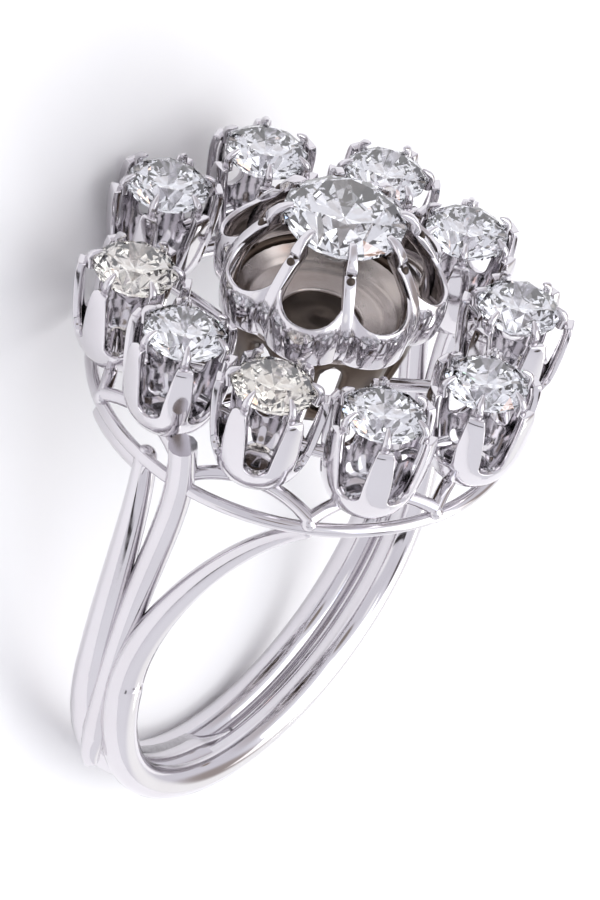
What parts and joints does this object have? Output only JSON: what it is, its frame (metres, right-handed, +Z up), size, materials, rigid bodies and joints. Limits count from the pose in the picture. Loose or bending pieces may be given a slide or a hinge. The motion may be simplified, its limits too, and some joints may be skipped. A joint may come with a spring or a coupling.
{
  "type": "cluster ring",
  "caption": "Finger ring with a raised round centre stone inside a circle of smaller stones in claw collets, on a scalloped wire gallery and split wire shoulders.",
  "frame": {"origin": "middle of the bounding box, on the surface the ring lies on", "axes": "+Z up from that surface; +X across the finger hole; +Y from the shank towards the head of the ring, which leans up from the surface"},
  "size_m": [0.0198, 0.0286, 0.0191],
  "materials": {
    "white_gold": "polished",
    "diamond": "faceted and polished",
    "tinted_diamond": "faceted and polished"
  },
  "bodies": {
    "root": {"setting": "white_gold", "centre_stone": "diamond", "stone_1": "tinted_diamond", "stone_2": "diamond", "stone_3": "diamond", "stone_4": "diamond", "stone_5": "diamond", "stone_6": "diamond", "stone_7": "diamond", "stone_8": "diamond", "stone_9": "tinted_diamond", "stone_10": "diamond"}
  },
  "joints": []
}
